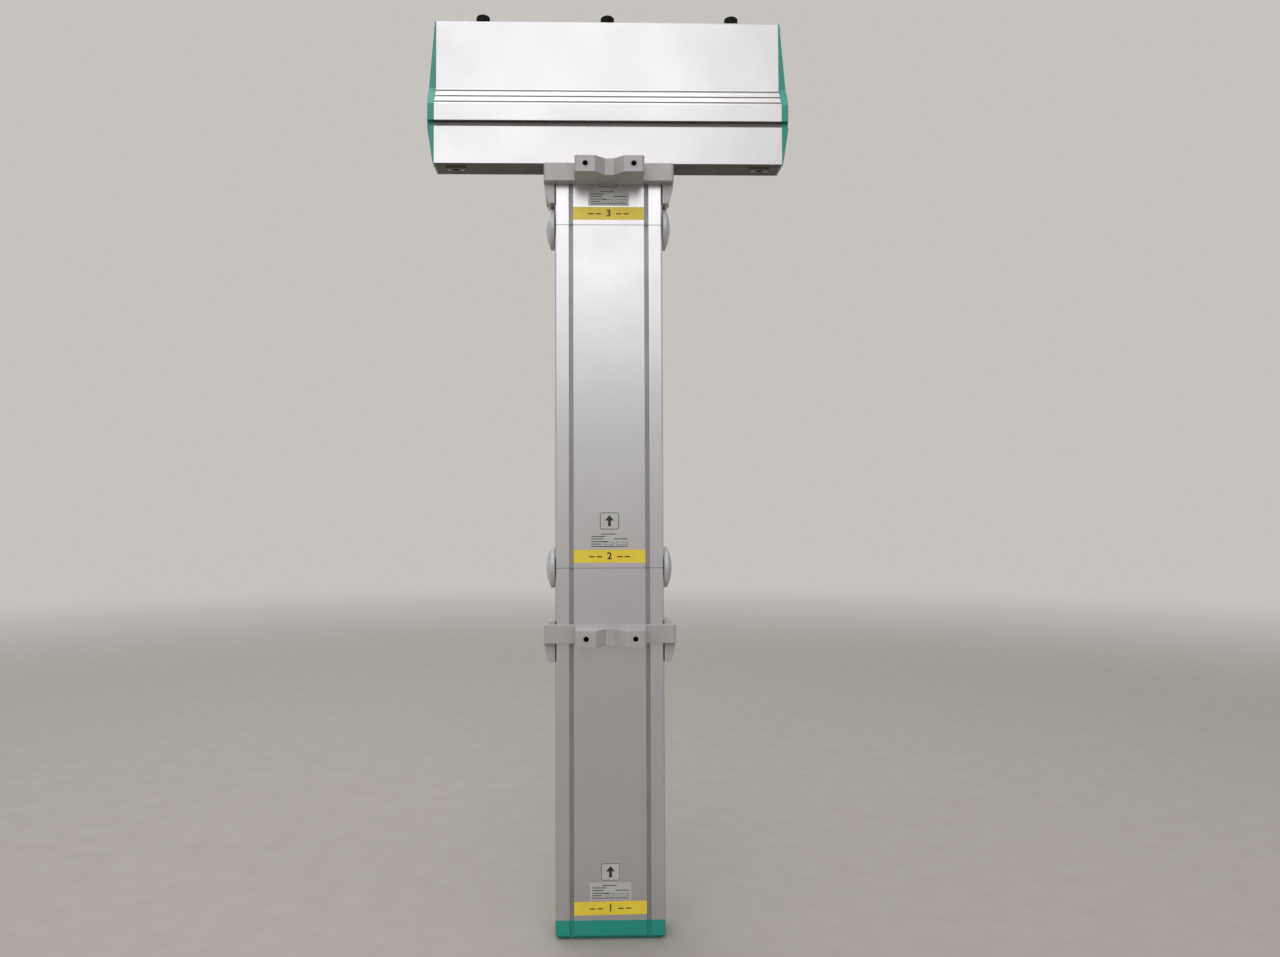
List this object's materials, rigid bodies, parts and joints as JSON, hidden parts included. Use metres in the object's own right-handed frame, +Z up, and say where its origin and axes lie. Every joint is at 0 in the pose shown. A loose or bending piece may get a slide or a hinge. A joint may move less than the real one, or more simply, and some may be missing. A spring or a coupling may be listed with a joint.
{
  "type": "medical device docking column",
  "caption": "T-shaped aluminium docking column that carries stacked infusion pumps on its front and clamps to a pole with vee brackets at its rear.",
  "frame": {"origin": "middle of the lower pole bracket's two tapped holes, on the vee block's front face", "axes": "+Z up along the column, -Y out of the vee towards the pole, +X across the column"},
  "size_m": [0.374, 0.111, 0.9493],
  "materials": {
    "anodised_aluminium": "clear satin anodised extrusion",
    "cast_aluminium": "die cast, satin grey",
    "green_plastic": "moulded, fine texture",
    "pale_plastic": "moulded, fine texture",
    "black_plastic": "moulded, satin",
    "yellow_plastic": "moulded, fine texture",
    "dark_window": "smoked acrylic, gloss",
    "circuit_board": "solder resist on glass fibre",
    "zinc_steel": "zinc plated",
    "spring_steel": "drawn spring wire",
    "bearing_bronze": "sintered bronze",
    "gold_contacts": "gold plated",
    "lock_metal": "turned and lacquered"
  },
  "bodies": {
    "column": {"foot_cap": "green_plastic", "lower_profile": "anodised_aluminium", "upper_profile": "anodised_aluminium", "stub_profile": "anodised_aluminium", "lower_docking_rail": "anodised_aluminium", "upper_docking_rail": "anodised_aluminium", "stub_front_cover": "anodised_aluminium", "lower_backplane": "circuit_board", "upper_backplane": "circuit_board", "lower_contact_blocks": "black_plastic", "upper_contact_blocks": "black_plastic", "contact_pins": "gold_contacts", "lower_coupler": "cast_aluminium", "upper_coupler": "cast_aluminium", "lock_bushes": "bearing_bronze", "catch_guides": "black_plastic", "catch_spring_1": "spring_steel", "catch_spring_2": "spring_steel", "catch_spring_3": "spring_steel", "catch_spring_4": "spring_steel", "catch_spring_5": "spring_steel", "catch_spring_6": "spring_steel", "lower_pole_bracket": "cast_aluminium", "upper_pole_bracket": "cast_aluminium", "bracket_nut_plates": "zinc_steel", "frame_screws": "zinc_steel", "panel_screws": "zinc_steel", "head_upper_profile": "anodised_aluminium", "head_lower_profile": "anodised_aluminium", "head_end_cap_left": "green_plastic", "head_end_cap_right": "green_plastic", "head_front_panel": "pale_plastic", "display_window": "dark_window", "display_module": "zinc_steel", "head_chassis": "zinc_steel", "head_control_board": "circuit_board", "head_power_board": "circuit_board", "accessory_sockets": "black_plastic", "socket_screws": "zinc_steel", "thumbscrew_nuts": "zinc_steel"},
    "catch_1": {"release_catch_1": "green_plastic"},
    "catch_2": {"release_catch_2": "green_plastic"},
    "catch_3": {"release_catch_3": "green_plastic"},
    "catch_4": {"release_catch_4": "green_plastic"},
    "catch_5": {"release_catch_5": "green_plastic"},
    "catch_6": {"release_catch_6": "green_plastic"},
    "lock_lower_left": {"lock_disc_lower_left": "lock_metal", "lock_shaft_lower_left": "zinc_steel"},
    "lock_lower_right": {"lock_disc_lower_right": "lock_metal", "lock_shaft_lower_right": "zinc_steel"},
    "lock_upper_left": {"lock_disc_upper_left": "lock_metal", "lock_shaft_upper_left": "zinc_steel"},
    "lock_upper_right": {"lock_disc_upper_right": "lock_metal", "lock_shaft_upper_right": "zinc_steel"},
    "knob_left": {"thumbscrew_left": "black_plastic"},
    "knob_centre": {"thumbscrew_centre": "black_plastic"},
    "knob_right": {"thumbscrew_right": "black_plastic"},
    "power_key": {"power_key": "green_plastic"},
    "silence_key": {"silence_key": "yellow_plastic"}
  },
  "joints": [
    {"name": "catch_1_press", "type": "slide", "parent": "column", "child": "catch_1", "axis": [0, -1, 0], "range_m": [0, 0.006], "stiffness_N_per_m": 400, "deforming": ["catch_spring_1"]},
    {"name": "catch_2_press", "type": "slide", "parent": "column", "child": "catch_2", "axis": [0, -1, 0], "range_m": [0, 0.006], "stiffness_N_per_m": 400, "deforming": ["catch_spring_2"]},
    {"name": "catch_3_press", "type": "slide", "parent": "column", "child": "catch_3", "axis": [0, -1, 0], "range_m": [0, 0.006], "stiffness_N_per_m": 400, "deforming": ["catch_spring_3"]},
    {"name": "catch_4_press", "type": "slide", "parent": "column", "child": "catch_4", "axis": [0, -1, 0], "range_m": [0, 0.006], "stiffness_N_per_m": 400, "deforming": ["catch_spring_4"]},
    {"name": "catch_5_press", "type": "slide", "parent": "column", "child": "catch_5", "axis": [0, -1, 0], "range_m": [0, 0.006], "stiffness_N_per_m": 400, "deforming": ["catch_spring_5"]},
    {"name": "catch_6_press", "type": "slide", "parent": "column", "child": "catch_6", "axis": [0, -1, 0], "range_m": [0, 0.006], "stiffness_N_per_m": 400, "deforming": ["catch_spring_6"]},
    {"name": "lock_lower_left_turn", "type": "hinge", "parent": "column", "child": "lock_lower_left", "pos_m": [-0.055, 0.057, 0.0665], "axis": [-1, 0, 0], "range_deg": [0, 90]},
    {"name": "lock_lower_right_turn", "type": "hinge", "parent": "column", "child": "lock_lower_right", "pos_m": [0.055, 0.057, 0.0665], "axis": [1, 0, 0], "range_deg": [0, 90]},
    {"name": "lock_upper_left_turn", "type": "hinge", "parent": "column", "child": "lock_upper_left", "pos_m": [-0.055, 0.057, 0.4165], "axis": [-1, 0, 0], "range_deg": [0, 90]},
    {"name": "lock_upper_right_turn", "type": "hinge", "parent": "column", "child": "lock_upper_right", "pos_m": [0.055, 0.057, 0.4165], "axis": [1, 0, 0], "range_deg": [0, 90]},
    {"name": "knob_left_turn", "type": "hinge", "parent": "column", "child": "knob_left", "pos_m": [-0.131, 0.065, 0.6335], "axis": [0, 0, 1], "range_deg": [0, 720]},
    {"name": "knob_centre_turn", "type": "hinge", "parent": "column", "child": "knob_centre", "pos_m": [0, 0.065, 0.6335], "axis": [0, 0, 1], "range_deg": [0, 720]},
    {"name": "knob_right_turn", "type": "hinge", "parent": "column", "child": "knob_right", "pos_m": [0.131, 0.065, 0.6335], "axis": [0, 0, 1], "range_deg": [0, 720]},
    {"name": "power_key_press", "type": "slide", "parent": "column", "child": "power_key", "axis": [0, -1, 0], "range_m": [0, 0.0015], "stiffness_N_per_m": 600},
    {"name": "silence_key_press", "type": "slide", "parent": "column", "child": "silence_key", "axis": [0, -1, 0], "range_m": [0, 0.0015], "stiffness_N_per_m": 600}
  ]
}
